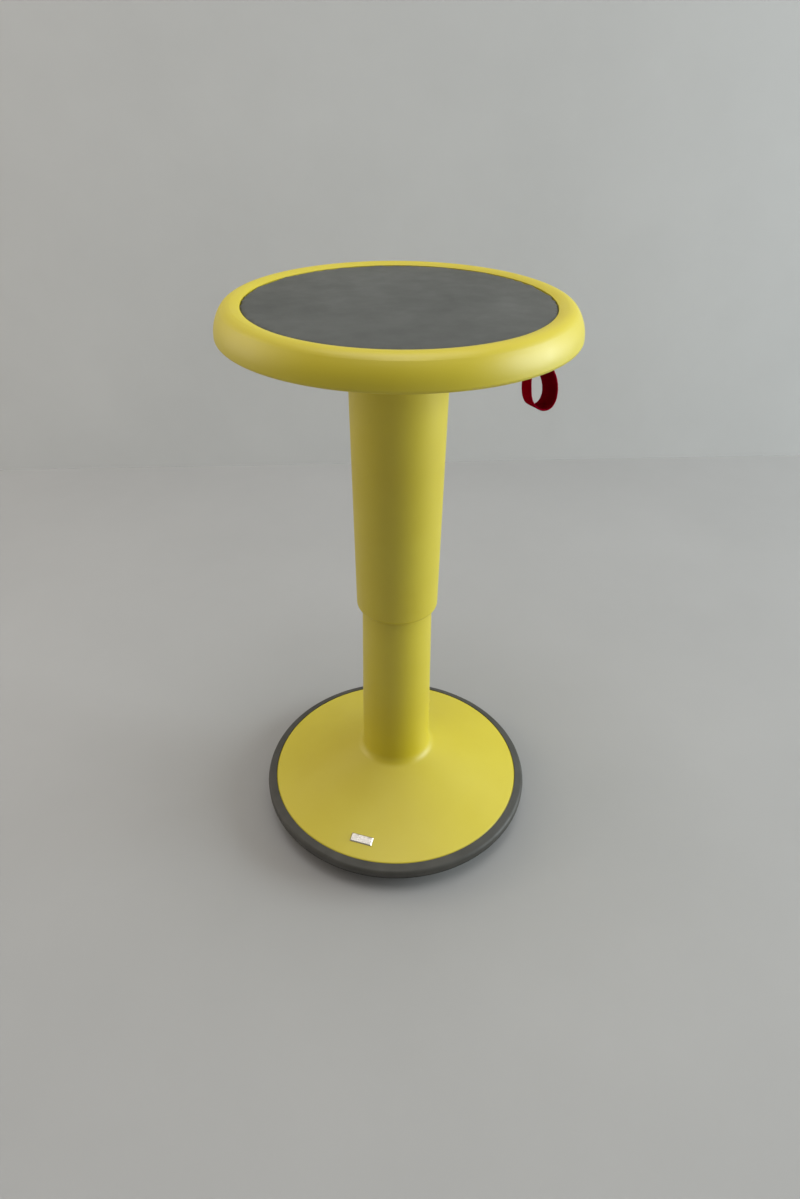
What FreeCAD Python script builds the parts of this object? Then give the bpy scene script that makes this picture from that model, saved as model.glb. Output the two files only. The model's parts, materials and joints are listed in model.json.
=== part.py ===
import FreeCAD, Part
import math
import os
import re
import Sketcher

# Wobble stool with a gas lift, at full height, millimetres.
# The origin is on the floor under the column. +Z is up and the pull strap hangs on the +X side.

doc = FreeCAD.newDocument("WobbleStool")
sheet = doc.addObject("Spreadsheet::Sheet", "Sizes")

SIZES = [
    # overall
    ("stool_height", 630.0, "floor to the crown of the seat rim at full height"),
    ("lift_travel", 180.0, "how far the seat comes down"),
    ("seat_radius", 165.0, "widest radius of the seat rim"),
    ("base_radius", 166.0, "widest radius of the rubber ring on the base"),
    # rubber sole
    ("sole_flat_radius", 45.0, "flat middle that the stool stands upright on"),
    ("sole_edge_height", 25.0, "height of the sole's edge above the floor"),
    ("sole_edge_inset", 3.0, "where the sole's curve ends inside the base radius"),
    ("sole_thickness", 4.0, "wall of the sole"),
    ("sole_flange_width", 24.5, "width of the sole's thick edge"),
    ("sole_lip_inset", 0.5, "the sole's edge stands this far inside the ring"),
    ("joint_chamfer", 0.8, "chamfers that leave a groove between the ring and the sole"),
    ("tread_width", 3.0, "width of a tread groove"),
    ("tread_depth", 1.8, "depth of a tread groove"),
    ("sole_screw_grip", 4.0, "sole under the heads of its screws"),
    # rubber ring
    ("joint_height", 28.0, "plane where the sole meets the ring"),
    ("ring_width", 11.0, "width of the ring outside the yellow shell"),
    ("ring_round", 5.0, "radius over the ring's top edge"),
    ("ring_lean", 19.0, "degrees by which the ring's top leans outwards"),
    ("tongue_width", 5.0, "tongue of the ring under the shell's skirt"),
    ("tongue_height", 2.5, "thickness of that tongue"),
    ("skirt_gap", 0.2, "gap between the ring and the skirt"),
    # base shell
    ("rim_height", 40.5, "height of the yellow rim"),
    ("cone_top_height", 87.3, "where the cone meets the lower tube"),
    ("cone_hollow", 1.6, "depth of the cone's slight hollow at its middle"),
    ("base_wall", 3.2, "wall of the base shell"),
    ("foot_round", 12.0, "hollow round between the cone and the lower tube"),
    ("tube_low_radius", 41.5, "lower tube at the cone"),
    ("tube_top_radius", 38.15, "lower tube at its top"),
    ("top_room", 83.0, "room over the lower tube when the seat is down"),
    ("top_flange", 3.0, "thickness of the lower tube's top flange"),
    ("edge_chamfer", 1.2, "small chamfers on moulded and cast edges"),
    ("rib_thickness", 2.4, "radial ribs under the cone"),
    ("rib_inner_radius", 34.0, "where the ribs start"),
    ("root_depth", 2.6, "ribs and bosses end this far below the outer surface"),
    ("collar_room", 3.0, "gap between the ribs and the base hub's collar"),
    ("collar_head_room", 8.0, "ribs over that collar, below the cone's top"),
    # sleeve and seat underside
    ("sleeve_overlap", 67.5, "sleeve over the lower tube at full height"),
    ("sleeve_low_radius", 45.05, "outside of the sleeve at its lower edge"),
    ("sleeve_top_radius", 48.0, "outside of the sleeve at the flare"),
    ("lip_round", 5.0, "round on the sleeve's lower edge"),
    ("flare_radius", 40.0, "hollow flare from the sleeve to the underside"),
    ("seat_wall", 2.6, "wall of the seat mouldings"),
    ("seat_depth", 29.5, "crown of the rim to the underside"),
    ("cover_radius", 136.0, "opening under the seat that the sleeve's flange fills"),
    ("cover_gap", 0.3, "gap round that flange"),
    ("cover_screw_inset", 12.0, "screws inside the edge of that flange"),
    # seat rim and pad
    ("crown_inset", 16.0, "crown of the rim inside the widest radius"),
    ("crown_round", 11.5, "radius over the crown"),
    ("side_drop", 24.9, "crown to the widest radius"),
    ("turn_round", 3.0, "small radius where the side turns under"),
    ("pad_radius", 140.0, "radius of the grey pad"),
    ("pad_gap", 0.2, "gap round and under the pad"),
    ("pad_sink", 2.3, "pad's edge below the crown"),
    ("pan_depth", 12.0, "pan under the pad below the crown"),
    ("pad_crown", 1.2, "pad's middle above its edge"),
    ("pad_round", 1.0, "eased edge of the pad"),
    ("pad_draw", 0.8, "how far the pad's side is drawn in at its foot"),
    # gas spring
    ("column_foot", 28.0, "lower end of the steel column"),
    ("column_radius", 25.0, "outside of the steel column"),
    ("column_wall", 1.5, "wall of the steel column"),
    ("column_fit", 0.4, "gap between the column and the shell"),
    ("column_lift", 1.0, "column over the lower tube's top"),
    ("taper_length", 46.0, "tapered lower end of the column"),
    ("taper_drop", 0.8, "how much the taper narrows"),
    ("disc_height", 36.0, "underside of the column's closing disc"),
    ("disc_thickness", 3.0, "thickness of that disc"),
    ("rod_radius", 5.0, "piston rod"),
    ("stub_radius", 4.2, "stepped lower end of the rod"),
    ("stub_length", 5.6, "rod below the closing disc"),
    ("stub_chamfer", 0.6, "chamfer on the rod's foot"),
    ("clip_radius", 8.0, "outside of the rod clip"),
    ("clip_thickness", 1.2, "thickness of the rod clip"),
    ("clip_groove", 3.4, "radius left in the clip's groove"),
    ("clip_play", 0.3, "gap between the clip and the disc"),
    ("race_radius", 11.0, "thrust washers"),
    ("race_thickness", 1.5, "thickness of a thrust washer"),
    ("ball_radius", 1.5, "thrust balls"),
    ("ball_circle", 8.0, "radius of the ring of balls"),
    ("ball_play", 0.05, "play over the balls"),
    ("cage_thickness", 1.4, "ball cage"),
    ("cage_half_width", 2.4, "cage on each side of the ring of balls"),
    ("buffer_height", 12.0, "rubber buffer on the rod"),
    ("buffer_radius", 12.0, "outside of the buffer"),
    ("stop_gap", 1.0, "cylinder over the buffer with the seat down"),
    ("cylinder_radius", 14.0, "outside of the gas cylinder"),
    ("cylinder_bore", 11.5, "inside of the gas cylinder"),
    ("cylinder_drop", 27.5, "top of the cylinder below the crown"),
    ("valve_length", 58.0, "closed top of the cylinder with the valve"),
    ("seal_length", 12.0, "seal block at the cylinder's mouth"),
    ("seal_inset", 0.5, "seal block inside the cylinder's mouth"),
    ("piston_length", 9.0, "length of the piston"),
    ("piston_gap", 3.0, "piston over the seal block at full height"),
    ("piston_play", 0.3, "gap between the piston and the bore"),
    ("piston_stub", 3.5, "radius of the rod inside the piston"),
    ("piston_groove_width", 2.4, "width of the piston's seal groove"),
    ("piston_groove_depth", 1.8, "depth of that groove"),
    ("piston_seal_gap", 0.1, "gap round the piston's seal"),
    ("slide_fit", 0.05, "radial clearance of running fits"),
    ("bush_length", 96.0, "guide bush inside the column"),
    ("bush_flange", 4.0, "flange on top of the bush"),
    ("bush_lead", 1.0, "lead-in chamfers of the bush"),
    ("bush_bore_radius", 2.8, "lightening bores in the bush's wall"),
    # hub and ballast in the base
    ("hub_plate_height", 30.0, "underside of the base hub's plate"),
    ("hub_plate_thickness", 3.0, "thickness of that plate"),
    ("hub_plate_radius", 72.0, "radius of that plate"),
    ("hub_collar_wall", 4.0, "wall of the base hub's collar and its weld"),
    ("hub_collar_height", 41.0, "collar above the plate"),
    ("hub_bolt_circle", 58.0, "radius of the hub's screws"),
    ("ballast_inner", 80.0, "inner radius of the ballast ring"),
    ("ballast_outer", 130.0, "outer radius of the ballast ring"),
    ("ballast_thickness", 9.0, "thickness of the ballast ring"),
    ("ballast_bolt_circle", 105.0, "radius of the ballast's screws"),
    ("sole_bolt_circle", 145.0, "radius of the sole's screws"),
    ("boss_radius", 6.5, "bosses for the large screws"),
    ("small_boss_radius", 4.5, "bosses for the small screws"),
    # screws
    ("screw_radius", 2.5, "shank of the large screws"),
    ("screw_head_radius", 5.0, "head of the large screws"),
    ("screw_head_height", 2.4, "height of those heads"),
    ("screw_length", 15.0, "shank length of the large screws"),
    ("ballast_screw_bite", 13.0, "ballast screws beyond the ring"),
    ("small_screw_radius", 2.0, "shank of the small screws"),
    ("small_head_radius", 3.6, "head of the small screws"),
    ("small_head_height", 2.2, "height of those heads"),
    ("small_screw_length", 9.0, "shank length of the small screws"),
    ("hole_gap", 0.25, "clearance round a screw's shank"),
    ("head_gap", 0.6, "clearance round a screw's head"),
    ("pilot_gap", 0.1, "a screw's hole in its boss is wider by this"),
    ("pilot_floor", 2.0, "boss left over the end of that hole"),
    # seat plate and release
    ("plate_drop", 24.0, "underside of the seat plate's flange below the crown"),
    ("plate_thickness", 2.5, "steel of the seat plate"),
    ("tray_depth", 18.0, "flange to the tray of the seat plate"),
    ("tray_radius", 48.0, "floor of the tray"),
    ("tray_mouth", 66.0, "mouth of the tray"),
    ("tray_wall", 1.75, "tray's wall, measured level"),
    ("flange_radius", 96.0, "outer radius of the plate's flange"),
    ("plate_bolt_circle", 82.0, "radius of the plate's screws"),
    ("plate_screw_length", 10.0, "shank of the plate's screws"),
    ("lever_slot_gap", 2.0, "slot in the plate beside the lever"),
    ("lever_slot_start", 54.0, "inner end of that slot"),
    ("lever_slot_depth", 10.5, "depth of that slot from the plate's top"),
    ("taper_hub_radius", 19.0, "outside of the taper hub"),
    ("taper_hub_length", 37.0, "length of the taper hub"),
    ("taper_hub_drop", 0.9, "how much the cylinder's upper taper narrows"),
    ("taper_hub_show", 2.0, "cylinder over the taper hub"),
    ("taper_hub_shoulder", 2.0, "taper hub narrower over its weld"),
    ("taper_hub_weld", 3.0, "weld over the tray's floor"),
    ("taper_hub_chamfer", 1.0, "chamfer on the hub's foot"),
    ("lever_drop", 19.8, "underside of the release lever below the crown"),
    ("lever_thickness", 2.5, "steel of the release lever"),
    ("lever_half_width", 8.0, "half width of the lever"),
    ("lever_spread_start", 12.0, "the lever starts to widen before its window"),
    ("lever_spread_end", 2.0, "the lever is full width before its window"),
    ("pivot_distance", 80.0, "lever's pivot from the column's axis"),
    ("pivot_radius", 1.6, "pivot pin"),
    ("pivot_end", 1.5, "pin beyond each ear"),
    ("barrel_radius", 3.0, "rolled eye of the lever"),
    ("barrel_half_width", 9.2, "half length of that eye"),
    ("ear_gap", 0.3, "gap between the eye and the ears"),
    ("ear_thickness", 2.0, "ears that hold the pivot pin"),
    ("ear_half_length", 6.0, "half length of an ear"),
    ("ear_corner", 3.0, "cut corners of an ear"),
    ("ear_height", 5.8, "ears above the plate"),
    ("release_radius", 4.0, "release pin of the gas spring"),
    ("release_gap", 0.3, "gap between the release pin and the lever"),
    ("release_length", 49.9, "length of the release pin"),
    ("release_bore", 46.0, "depth of the release pin's bore"),
    ("release_chamfer", 1.0, "chamfer on the pin's tip"),
    # pull strap
    ("strap_reach", 146.0, "pull strap from the column's axis"),
    ("strap_half_width", 12.5, "half width of the webbing"),
    ("strap_thickness", 1.7, "thickness of the webbing"),
    ("loop_radius", 13.5, "round lower end of the loop"),
    ("strap_drop", 117.0, "lower end of the loop below the crown"),
    ("neck_drop", 31.0, "where the two layers part below the crown"),
    ("neck_seam", 4.0, "stitched length under that"),
    ("bar_half_width", 1.75, "half width of the lever's crossbar"),
    ("bar_gap", 0.05, "webbing round the crossbar"),
    ("wrap_thickness", 1.3, "pressed webbing round the crossbar"),
    ("tine_width", 3.0, "lever beside the strap"),
    ("tine_gap", 0.5, "gap between the strap and the lever"),
    ("window_length", 7.25, "window in the lever for the strap"),
    ("guide_half_length", 4.0, "strap guide's slot, half its length"),
    ("guide_wall", 1.0, "wall of the strap guide"),
    ("guide_flange", 2.0, "flange of the strap guide"),
    ("guide_flange_thickness", 1.0, "thickness of that flange"),
    ("guide_rise", 0.5, "guide above the seat's wall"),
    ("guide_side_gap", 1.0, "slot beside the webbing"),
    ("guide_fit", 0.2, "gap round the guide in the underside"),
    # cuts
    ("beyond", 1.0, "how far a cut runs past the surface it leaves"),
    ("socket_share", 0.6, "a screw's socket as a share of its shank and head"),
    # badge
    ("badge_length", 26.5, "length of the blank badge"),
    ("badge_width", 10.1, "width of the blank badge"),
    ("badge_thickness", 1.3, "badge above the cone"),
    ("badge_bevel", 1.0, "bevel round the badge"),
    ("badge_sink", 2.0, "badge's root before the cone is cut from it"),
    ("badge_reach", 133.25, "badge from the column's axis"),
    ("badge_angle", -124.25, "badge round the column from +X"),
]

# Counts, and first angles in degrees
SOLE_SCREWS = 6
BALLAST_SCREWS = 6
HUB_SCREWS = 4
COVER_SCREWS = 6
PLATE_SCREWS = 4
SOLE_FIRST = 0.0
BALLAST_FIRST = 30.0
HUB_FIRST = 0.0
COVER_FIRST = 30.0
PLATE_FIRST = 45.0
RIB_COUNT = 12
BALL_COUNT = 8
BUSH_BORES = 6
TREAD_GROOVES = 3
CLIP_ANGLE = 290

# Lengths and volumes closer than this count as equal
SAME = 1e-3

NAMES = {name for name, number, note in SIZES}


def fill_sheet():
    """Write each driving size into the sheet with its alias."""
    for row, (name, number, note) in enumerate(SIZES, start=1):
        sheet.set("A%d" % row, name)
        sheet.set("B%d" % row, repr(number))
        sheet.set("C%d" % row, note)
        sheet.setAlias("B%d" % row, name)
    doc.recompute()


def formula(text):
    """Spell a formula in the sheet's aliases."""
    def spell(match):
        word = match.group(0)
        return "Sizes." + word if word in NAMES else word
    return re.sub(r"[A-Za-z_][A-Za-z_0-9]*", spell, text)


def value(text):
    """The number that a formula gives."""
    found = sheet.evalExpression(formula(text))
    return float(getattr(found, "Value", found))


# Heights and radii that follow from the driving sizes
UNDERSIDE = "(stool_height - seat_depth)"
COVER_TOP = "(stool_height - seat_depth + seat_wall)"
SIDE_HEIGHT = "(stool_height - side_drop)"
PAN_TOP = "(stool_height - pan_depth)"
PAN_BOTTOM = "(stool_height - pan_depth - seat_wall)"
PAD_EDGE = "(stool_height - pad_sink)"
CROWN_RADIUS = "(seat_radius - crown_inset)"
TUBE_TOP = "(stool_height - lift_travel - top_room)"
SLEEVE_BOTTOM = "(stool_height - lift_travel - top_room - sleeve_overlap)"
FLARE_HEIGHT = "(stool_height - seat_depth - flare_radius)"
FLARE_CENTRE = "(sleeve_top_radius + flare_radius)"
FLARE_CORNER = "((flare_radius + seat_wall) * tan(22.5))"
COVER_BOLT_CIRCLE = "(cover_radius - cover_screw_inset)"
RIM_RADIUS = "(base_radius - ring_width)"
CONE_EDGE = "(base_radius - ring_width - edge_chamfer)"
CONE_CHORD = "((" + CONE_EDGE + " - tube_low_radius)^2 + (cone_top_height - rim_height)^2)"
CONE_BOW = "((" + CONE_CHORD + " / 4 + cone_hollow^2) / (2 * cone_hollow))"
SKIRT_BOTTOM = "(joint_height + tongue_height)"
SOLE_EDGE = "(base_radius - sole_edge_inset)"
SOLE_RUN = "(base_radius - sole_edge_inset - sole_flat_radius)"
SOLE_BOW = "((" + SOLE_RUN + "^2 + sole_edge_height^2) / (2 * sole_edge_height))"
SOLE_FLANGE = "(base_radius - sole_lip_inset - sole_flange_width)"
SOLE_SEAT = "(joint_height - sole_screw_grip)"
DISC_TOP = "(disc_height + disc_thickness)"
LOWER_RACE_TOP = "(disc_height + disc_thickness + race_thickness)"
BALL_HEIGHT = "(disc_height + disc_thickness + race_thickness + ball_radius + ball_play / 2)"
UPPER_RACE = "(disc_height + disc_thickness + race_thickness + 2 * ball_radius + ball_play)"
BUFFER_BOTTOM = "(" + UPPER_RACE + " + race_thickness)"
BUFFER_TOP = "(" + BUFFER_BOTTOM + " + buffer_height)"
CLIP_BORE = "(clip_groove + slide_fit)"
CYLINDER_BOTTOM = "(" + BUFFER_TOP + " + stop_gap + lift_travel)"
CYLINDER_TOP = "(stool_height - cylinder_drop)"
PISTON_BOTTOM = "(" + CYLINDER_BOTTOM + " + seal_length + piston_gap)"
COLUMN_TOP = "(" + TUBE_TOP + " + column_lift)"
HUB_PLATE_TOP = "(hub_plate_height + hub_plate_thickness)"
HUB_BOTTOM = "(" + CYLINDER_TOP + " - taper_hub_length)"
BALLAST_BOTTOM = "(" + HUB_PLATE_TOP + " - ballast_thickness)"
BALLAST_SEAT = "(" + BALLAST_BOTTOM + " + screw_head_height)"
BALLAST_SHANK = "(ballast_thickness - screw_head_height + ballast_screw_bite)"
PLATE_BOTTOM = "(stool_height - plate_drop)"
PLATE_TOP = "(stool_height - plate_drop + plate_thickness)"
TRAY_FLOOR = "(stool_height - plate_drop - tray_depth)"
LEVER_BOTTOM = "(stool_height - lever_drop)"
PIVOT_HEIGHT = "(stool_height - lever_drop + lever_thickness / 2)"
LOOP_CENTRE = "(stool_height - strap_drop + loop_radius)"
NECK_HEIGHT = "(stool_height - neck_drop)"
GUIDE_HALF_WIDTH = "(strap_half_width + guide_side_gap)"
FORK_HALF_WIDTH = "(strap_half_width + tine_gap + tine_width)"
BAR_HOLE = "(sqrt(bar_half_width^2 + (lever_thickness / 2)^2) + bar_gap)"


def origin_part(body, role):
    """The body's own origin plane or axis with the given role."""
    for feature in body.Origin.OriginFeatures:
        if feature.Role == role:
            return feature
    raise ValueError(role)


class Outline:
    """A closed profile in a sketch whose corners are each held by two sizes."""

    def __init__(self, body, name, plane="XZ_Plane", height=None, sketch=None):
        self.sketch = sketch or new_sketch(body, name, plane, height)
        self.first = None
        self.last = None
        self.here = None

    def hold(self, geometry, point, x, y):
        """Hold one point of the sketch at two formulas."""
        for kind, axis, text in (("DistanceX", -2, x), ("DistanceY", -1, y)):
            if abs(value(text)) < SAME:
                self.sketch.addConstraint(Sketcher.Constraint("PointOnObject", geometry, point, axis))
                continue
            held = Sketcher.Constraint(kind, -1, 1, geometry, point, value(text))
            self.name_constraint(self.sketch.addConstraint(held), text)

    def name_constraint(self, index, text):
        label = "size%d" % index
        self.sketch.renameConstraint(index, label)
        self.sketch.setExpression("Constraints." + label, formula(text))

    def start(self, x, y):
        self.begin = (x, y)
        self.here = (value(x), value(y))
        return self

    def join(self, geometry, near, far, end):
        """Tie a new piece to the last one and note its free end."""
        if self.last is None:
            self.first = (geometry, near)
        else:
            self.sketch.addConstraint(Sketcher.Constraint("Coincident", *self.last, geometry, near))
        self.last = (geometry, far)
        self.here = end

    def line(self, x, y):
        end = (value(x), value(y))
        segment = Part.LineSegment(vector(self.here), vector(end))
        geometry = self.sketch.addGeometry(segment, False)
        self.join(geometry, 1, 2, end)
        self.hold(geometry, 2, x, y)
        return self

    def arc(self, x, y, radius, turn):
        """An arc of a stated radius to the next corner; turn is left or right."""
        end = (value(x), value(y))
        size = value(radius)
        centre = arc_centre(self.here, end, size, turn)
        geometry = self.sketch.addGeometry(arc_piece(centre, size, self.here, end, turn), False)
        near, far = (1, 2) if turn == "left" else (2, 1)
        self.join(geometry, near, far, end)
        self.hold(geometry, far, x, y)
        index = self.sketch.addConstraint(Sketcher.Constraint("Radius", geometry, size))
        self.name_constraint(index, radius)
        return self

    def quarter(self, x, y, radius, heading):
        """Two arcs that turn right by a quarter: a stated small one, then the large one that fits."""
        start = self.here
        end = (value(x), value(y))
        small = value(radius)
        if heading == "across":
            short, long = end[0] - start[0], start[1] - end[1]
        else:
            short, long = start[1] - end[1], start[0] - end[0]
        large = (short ** 2 + long ** 2 - 2 * long * small) / (2 * (short - small))
        if heading == "across":
            first_centre = (start[0], start[1] - small)
            second_centre = (end[0] - large, end[1])
        else:
            first_centre = (start[0] - small, start[1])
            second_centre = (end[0], end[1] + large)
        scale = large / (large - small)
        middle = tuple(b + (a - b) * scale for a, b in zip(first_centre, second_centre))
        # the small arc
        first = self.sketch.addGeometry(arc_piece(first_centre, small, start, middle, "right"), False)
        self.join(first, 2, 1, middle)
        index = self.sketch.addConstraint(Sketcher.Constraint("Radius", first, small))
        self.name_constraint(index, radius)
        # the large arc
        second = self.sketch.addGeometry(arc_piece(second_centre, large, middle, end, "right"), False)
        self.sketch.addConstraint(Sketcher.Constraint("Tangent", first, 1, second, 2))
        self.last = (second, 1)
        self.here = end
        self.hold(second, 1, x, y)
        # both centres line up with the ends, so the turn starts and ends square
        if heading == "across":
            self.sketch.addConstraint(Sketcher.Constraint("Vertical", first, 3, first, 2))
            self.sketch.addConstraint(Sketcher.Constraint("Horizontal", second, 3, second, 1))
        else:
            self.sketch.addConstraint(Sketcher.Constraint("Horizontal", first, 3, first, 2))
            self.sketch.addConstraint(Sketcher.Constraint("Vertical", second, 3, second, 1))
        return self

    def half(self, x, y, turn):
        """A half circle to the next corner."""
        end = (value(x), value(y))
        centre = ((self.here[0] + end[0]) / 2, (self.here[1] + end[1]) / 2)
        level = abs(self.here[1] - end[1]) < SAME
        radius = math.dist(self.here, end) / 2
        geometry = self.sketch.addGeometry(arc_piece(centre, radius, self.here, end, turn), False)
        near, far = (1, 2) if turn == "left" else (2, 1)
        self.join(geometry, near, far, end)
        self.hold(geometry, far, x, y)
        kind = "Horizontal" if level else "Vertical"
        self.sketch.addConstraint(Sketcher.Constraint(kind, geometry, 3, geometry, far))
        return self

    def close(self):
        """Draw the last straight piece back to the start if one is needed."""
        x, y = self.begin
        if math.dist(self.here, (value(x), value(y))) > SAME:
            self.line(x, y)
        self.sketch.addConstraint(Sketcher.Constraint("Coincident", *self.last, *self.first))
        return self.sketch


def vector(point):
    return FreeCAD.Vector(point[0], point[1], 0)


def arc_centre(start, end, radius, turn):
    """Centre of the short arc of a radius between two points."""
    middle = ((start[0] + end[0]) / 2, (start[1] + end[1]) / 2)
    chord = math.dist(start, end)
    rise = math.sqrt(max(radius ** 2 - chord ** 2 / 4, 0.0))
    side = 1 if turn == "left" else -1
    normal = (-(end[1] - start[1]) / chord * side, (end[0] - start[0]) / chord * side)
    return (middle[0] + normal[0] * rise, middle[1] + normal[1] * rise)


def arc_piece(centre, radius, start, end, turn):
    """A sketch arc; sketch arcs always run anticlockwise."""
    if turn == "right":
        start, end = end, start
    first = math.atan2(start[1] - centre[1], start[0] - centre[0])
    last = math.atan2(end[1] - centre[1], end[0] - centre[0])
    if last < first:
        last += 2 * math.pi
    circle = Part.Circle(vector(centre), FreeCAD.Vector(0, 0, 1), radius)
    return Part.ArcOfCircle(circle, first, last)


def new_sketch(body, name, plane, height=None):
    """A sketch on one of the body's origin planes, raised to a height if one is given."""
    sketch = body.newObject("Sketcher::SketchObject", name)
    sketch.AttachmentSupport = [(origin_part(body, plane), "")]
    sketch.MapMode = "FlatFace"
    if height is not None:
        sketch.AttachmentOffset = FreeCAD.Placement(FreeCAD.Vector(0, 0, value(height)), FreeCAD.Rotation())
        sketch.setExpression("AttachmentOffset.Base.z", formula(height))
    return sketch


def new_body(node):
    """A sub-part; its label names its file."""
    body = doc.addObject("PartDesign::Body", node)
    body.Label = node
    return body


def revolve(body, sketch, name="Turned", cut=False):
    """Turn a profile about the vertical axis, as a solid or as a groove."""
    kind = "PartDesign::Groove" if cut else "PartDesign::Revolution"
    before = body.Shape.Volume if cut else 0
    feature = body.newObject(kind, name)
    feature.Profile = sketch
    feature.ReferenceAxis = (sketch, ["V_Axis"])
    feature.Angle = 360
    doc.recompute()
    check_step(feature, before, cut)
    return feature


def pad(body, sketch, length, name="Raised", midplane=False, reverse=False):
    before = body.Shape.Volume if body.Tip else 0
    feature = body.newObject("PartDesign::Pad", name)
    feature.Profile = sketch
    feature.Length = value(length)
    feature.setExpression("Length", formula(length))
    feature.Midplane = midplane
    feature.Reversed = reverse
    doc.recompute()
    check_step(feature, before, False)
    return feature


def pocket(body, sketch, length, name="Cut", midplane=False, reverse=False):
    before = body.Shape.Volume
    feature = body.newObject("PartDesign::Pocket", name)
    feature.Profile = sketch
    feature.Length = value(length)
    feature.setExpression("Length", formula(length))
    feature.Midplane = midplane
    feature.Reversed = reverse
    doc.recompute()
    check_step(feature, before, True)
    return feature


def check_step(feature, before, cut):
    """A step that changes nothing is an error."""
    after = feature.Shape.Volume
    if cut and after > before - SAME:
        raise RuntimeError(feature.Label + " cuts nothing")
    if not cut and after < before + SAME:
        raise RuntimeError(feature.Label + " adds nothing")


def repeat(body, features, count, name="Repeated"):
    """Repeat features about the vertical axis."""
    pattern = body.newObject("PartDesign::PolarPattern", name)
    pattern.Originals = features
    pattern.Axis = (origin_part(body, "Z_Axis"), [""])
    pattern.Angle = 360
    pattern.Occurrences = count
    body.Tip = pattern
    doc.recompute()
    return pattern


def ring_edges(shape, place):
    """Names of the level round edges at a radius and a height."""
    found = []
    radius, height = value(place[0]), value(place[1])
    for index, edge in enumerate(shape.Edges, start=1):
        curve = edge.Curve
        if not isinstance(curve, Part.Circle):
            continue
        centred = math.hypot(curve.Center.x, curve.Center.y) < SAME
        if centred and abs(curve.Radius - radius) < SAME and abs(curve.Center.z - height) < SAME:
            found.append("Edge%d" % index)
    if not found:
        raise RuntimeError("an edge to round was not found")
    return found


def round_edge(body, place, radius, name):
    """A round on one level edge of the latest step."""
    base = body.Tip
    edges = ring_edges(base.Shape, place)
    feature = body.newObject("PartDesign::Fillet", name)
    feature.Base = (base, edges)
    feature.Radius = value(radius)
    feature.setExpression("Radius", formula(radius))
    doc.recompute()
    return feature


def circles(body, name, places, radius, plane="XY_Plane", height=None):
    """A sketch of equal circles at the given places."""
    sketch = new_sketch(body, name, plane, height)
    holder = Outline(body, name, sketch=sketch)
    for x, y in places:
        circle = Part.Circle(vector((value(x), value(y))), FreeCAD.Vector(0, 0, 1), value(radius))
        geometry = sketch.addGeometry(circle, False)
        holder.hold(geometry, 3, x, y)
        index = sketch.addConstraint(Sketcher.Constraint("Radius", geometry, value(radius)))
        holder.name_constraint(index, radius)
    return sketch


def around(circle_radius, count, first=0.0):
    """Places spaced evenly on a circle."""
    angles = [first + 360.0 * k / count for k in range(count)]
    return [(circle_radius + " * cos(%r)" % a, circle_radius + " * sin(%r)" % a) for a in angles]


def rectangle(body, name, low, high, plane="XZ_Plane", height=None, sketch=None):
    """A rectangle between two corners."""
    outline = Outline(body, name, plane, height, sketch)
    outline.start(low[0], low[1])
    outline.line(high[0], low[1]).line(high[0], high[1]).line(low[0], high[1])
    return outline.close()


def tube(node, inner, outer, low, high):
    """A plain turned tube."""
    body = new_body(node)
    revolve(body, rectangle(body, "Section", (inner, low), (outer, high)))
    return body


def turned_solid(node, corners):
    """A turned piece with straight edges."""
    body = new_body(node)
    outline = Outline(body, "Section").start(*corners[0])
    for x, y in corners[1:]:
        outline.line(x, y)
    revolve(body, outline.close())
    return body


def base_sole():
    """The rubber sole: flat in the middle and rounded up to its edge, so that the stool rocks."""
    body = new_body("base_sole")
    outline = Outline(body, "Section").start("0", "0")
    outline.line("sole_flat_radius", "0")
    outline.arc(SOLE_EDGE, "sole_edge_height", SOLE_BOW, "left")
    outline.line("base_radius - sole_lip_inset", "joint_height - joint_chamfer")
    outline.line("base_radius - sole_lip_inset - joint_chamfer", "joint_height")
    outline.line(SOLE_FLANGE, "joint_height")
    # the inside follows the outside in two straight runs
    for radius in (SOLE_FLANGE, "((" + SOLE_FLANGE + " + sole_flat_radius) / 2)"):
        depth = "sqrt((" + SOLE_BOW + " - sole_thickness)^2 - (" + radius + " - sole_flat_radius)^2)"
        outline.line(radius, SOLE_BOW + " - " + depth)
    outline.line("sole_flat_radius", "sole_thickness")
    outline.line("0", "sole_thickness")
    revolve(body, outline.close())
    # tread grooves, spaced evenly over the rounded part
    sketch = None
    for step in range(1, TREAD_GROOVES + 1):
        out = "(" + SOLE_RUN + " * %d / %d)" % (step, TREAD_GROOVES + 1)
        radius = "sole_flat_radius + " + out
        height = SOLE_BOW + " - sqrt(" + SOLE_BOW + "^2 - " + out + "^2)"
        low = (radius, height + " - beyond")
        high = (radius + " + tread_width", height + " + tread_depth")
        sketch = rectangle(body, "Tread", low, high, sketch=sketch)
    revolve(body, sketch, "TreadGrooves", cut=True)
    # screw holes with room for the heads
    places = around("sole_bolt_circle", SOLE_SCREWS, SOLE_FIRST)
    holes = circles(body, "Holes", places, "small_screw_radius + hole_gap")
    pocket(body, holes, "joint_height + beyond", "ScrewHoles", reverse=True)
    heads = circles(body, "Heads", places, "small_head_radius + head_gap")
    pocket(body, heads, SOLE_SEAT, "HeadRecesses", reverse=True)


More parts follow.
